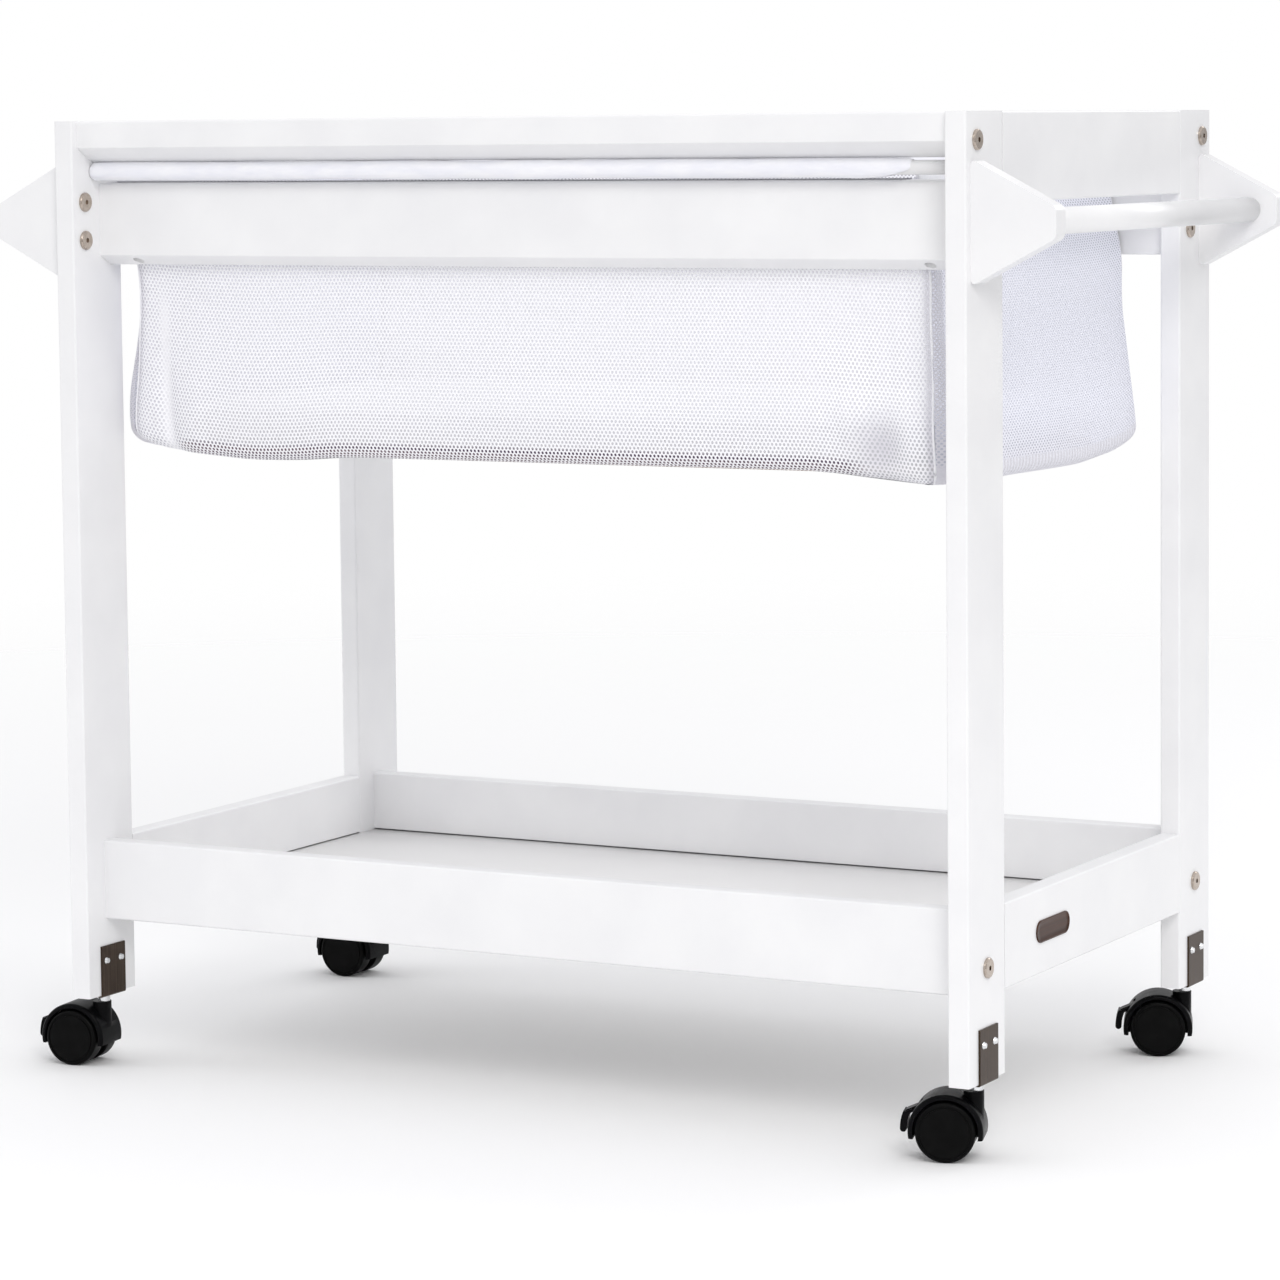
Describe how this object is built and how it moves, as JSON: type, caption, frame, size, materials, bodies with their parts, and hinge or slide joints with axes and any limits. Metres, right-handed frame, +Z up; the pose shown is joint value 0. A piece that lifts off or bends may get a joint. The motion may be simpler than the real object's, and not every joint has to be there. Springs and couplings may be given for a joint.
{
  "type": "bassinet on stand",
  "caption": "Wheeled white bassinet stand: mesh basket hung on two rods, storage tray below, push bars at both ends, braked twin-wheel castors.",
  "frame": {"origin": "on the floor, below the middle of the whole box", "axes": "+X along the stand towards the end with the badge, +Y from the front to the back, +Z up"},
  "size_m": [1.034, 0.537, 0.855],
  "materials": {
    "white_paint": "smooth white gloss lacquer on solid timber",
    "tray_panel": "thin panel with a greyish white coating",
    "nickel": "nickel plated furniture bolts and nuts",
    "dowel_wood": "fluted beech, bare",
    "badge_metal": "dark brushed metal, blank",
    "rod_paint": "white lacquered round rod",
    "mesh_fabric": "white polyester spacer mesh",
    "base_panel": "thin coated hardboard",
    "mattress_cover": "white knitted cotton cover over foam",
    "zinc_plate": "zinc plated pressed steel",
    "bright_steel": "bright zinc plated steel",
    "insert_brass": "plain brass",
    "hood_plastic": "glossy black nylon",
    "wheel_plastic": "satin black nylon",
    "lever_plastic": "glossy black nylon"
  },
  "bodies": {
    "stand": {"leg_left_front": "white_paint", "leg_left_back": "white_paint", "leg_right_front": "white_paint", "leg_right_back": "white_paint", "top_rail_front": "white_paint", "top_rail_back": "white_paint", "lower_rail_front": "white_paint", "lower_rail_back": "white_paint", "end_apron_left": "white_paint", "end_apron_right": "white_paint", "tray_rail_front": "white_paint", "tray_rail_back": "white_paint", "tray_end_left": "white_paint", "tray_end_right": "white_paint", "tray_floor": "tray_panel", "handle_bracket_left_front": "white_paint", "handle_bracket_left_back": "white_paint", "handle_bracket_right_front": "white_paint", "handle_bracket_right_back": "white_paint", "handle_bar_left": "white_paint", "handle_bar_right": "white_paint", "connector_bolts": "nickel", "barrel_nuts": "nickel", "wood_dowels": "dowel_wood", "badge_plate": "badge_metal", "rod_front": "rod_paint", "rod_back": "rod_paint", "mesh_basket": "mesh_fabric", "base_board": "base_panel", "saddle_left_front": "zinc_plate", "saddle_left_back": "zinc_plate", "saddle_right_front": "zinc_plate", "saddle_right_back": "zinc_plate", "saddle_screws": "bright_steel", "threaded_inserts": "insert_brass", "stem_left_front": "bright_steel", "stem_left_back": "bright_steel", "stem_right_front": "bright_steel", "stem_right_back": "bright_steel"},
    "castor_left_front": {"castor_hood_left_front": "hood_plastic", "axle_left_front": "bright_steel"},
    "wheel_in_left_front": {"inner_wheel_left_front": "wheel_plastic"},
    "wheel_out_left_front": {"outer_wheel_left_front": "wheel_plastic"},
    "lever_left_front": {"brake_lever_left_front": "lever_plastic"},
    "castor_left_back": {"castor_hood_left_back": "hood_plastic", "axle_left_back": "bright_steel"},
    "wheel_in_left_back": {"inner_wheel_left_back": "wheel_plastic"},
    "wheel_out_left_back": {"outer_wheel_left_back": "wheel_plastic"},
    "lever_left_back": {"brake_lever_left_back": "lever_plastic"},
    "castor_right_front": {"castor_hood_right_front": "hood_plastic", "axle_right_front": "bright_steel"},
    "wheel_in_right_front": {"inner_wheel_right_front": "wheel_plastic"},
    "wheel_out_right_front": {"outer_wheel_right_front": "wheel_plastic"},
    "lever_right_front": {"brake_lever_right_front": "lever_plastic"},
    "castor_right_back": {"castor_hood_right_back": "hood_plastic", "axle_right_back": "bright_steel"},
    "wheel_in_right_back": {"inner_wheel_right_back": "wheel_plastic"},
    "wheel_out_right_back": {"outer_wheel_right_back": "wheel_plastic"},
    "lever_right_back": {"brake_lever_right_back": "lever_plastic"},
    "mattress_pad": {"mattress": "mattress_cover"}
  },
  "joints": [
    {"name": "swivel_left_front", "type": "hinge", "parent": "stand", "child": "castor_left_front", "pos_m": [-0.4335, -0.232, 0.05], "axis": [0, 0, 1], "continuous": true},
    {"name": "roll_in_left_front", "type": "hinge", "parent": "castor_left_front", "child": "wheel_in_left_front", "pos_m": [-0.45732, -0.23492, 0.025], "axis": [0.1219, -0.9925, 0], "continuous": true},
    {"name": "roll_out_left_front", "type": "hinge", "parent": "castor_left_front", "child": "wheel_out_left_front", "pos_m": [-0.45732, -0.23492, 0.025], "axis": [0.1219, -0.9925, 0], "continuous": true},
    {"name": "brake_left_front", "type": "hinge", "parent": "castor_left_front", "child": "lever_left_front", "pos_m": [-0.47952, -0.23765, 0.04377], "axis": [-0.1219, 0.9925, 0], "range_deg": [0, 20]},
    {"name": "swivel_left_back", "type": "hinge", "parent": "stand", "child": "castor_left_back", "pos_m": [-0.4335, 0.232, 0.05], "axis": [0, 0, 1], "continuous": true},
    {"name": "roll_in_left_back", "type": "hinge", "parent": "castor_left_back", "child": "wheel_in_left_back", "pos_m": [-0.4575, 0.232, 0.025], "axis": [0, -1, 0], "continuous": true},
    {"name": "roll_out_left_back", "type": "hinge", "parent": "castor_left_back", "child": "wheel_out_left_back", "pos_m": [-0.4575, 0.232, 0.025], "axis": [0, -1, 0], "continuous": true},
    {"name": "brake_left_back", "type": "hinge", "parent": "castor_left_back", "child": "lever_left_back", "pos_m": [-0.47987, 0.232, 0.04377], "axis": [0, 1, 0], "range_deg": [0, 20]},
    {"name": "swivel_right_front", "type": "hinge", "parent": "stand", "child": "castor_right_front", "pos_m": [0.4335, -0.232, 0.05], "axis": [0, 0, 1], "continuous": true},
    {"name": "roll_in_right_front", "type": "hinge", "parent": "castor_right_front", "child": "wheel_in_right_front", "pos_m": [0.41061, -0.23922, 0.025], "axis": [0.3007, -0.9537, 0], "continuous": true},
    {"name": "roll_out_right_front", "type": "hinge", "parent": "castor_right_front", "child": "wheel_out_right_front", "pos_m": [0.41061, -0.23922, 0.025], "axis": [0.3007, -0.9537, 0], "continuous": true},
    {"name": "brake_right_front", "type": "hinge", "parent": "castor_right_front", "child": "lever_right_front", "pos_m": [0.38928, -0.24594, 0.04377], "axis": [-0.3007, 0.9537, 0], "range_deg": [0, 20]},
    {"name": "swivel_right_back", "type": "hinge", "parent": "stand", "child": "castor_right_back", "pos_m": [0.4335, 0.232, 0.05], "axis": [0, 0, 1], "continuous": true},
    {"name": "roll_in_right_back", "type": "hinge", "parent": "castor_right_back", "child": "wheel_in_right_back", "pos_m": [0.41109, 0.2234, 0.025], "axis": [0.3584, -0.9336, 0], "continuous": true},
    {"name": "roll_out_right_back", "type": "hinge", "parent": "castor_right_back", "child": "wheel_out_right_back", "pos_m": [0.41109, 0.2234, 0.025], "axis": [0.3584, -0.9336, 0], "continuous": true},
    {"name": "brake_right_back", "type": "hinge", "parent": "castor_right_back", "child": "lever_right_back", "pos_m": [0.39021, 0.21538, 0.04377], "axis": [-0.3584, 0.9336, 0], "range_deg": [0, 20]},
    {"name": "mattress_lift", "type": "slide", "parent": "stand", "child": "mattress_pad", "axis": [0, 0, 1], "range_m": [0, 0.3]}
  ]
}
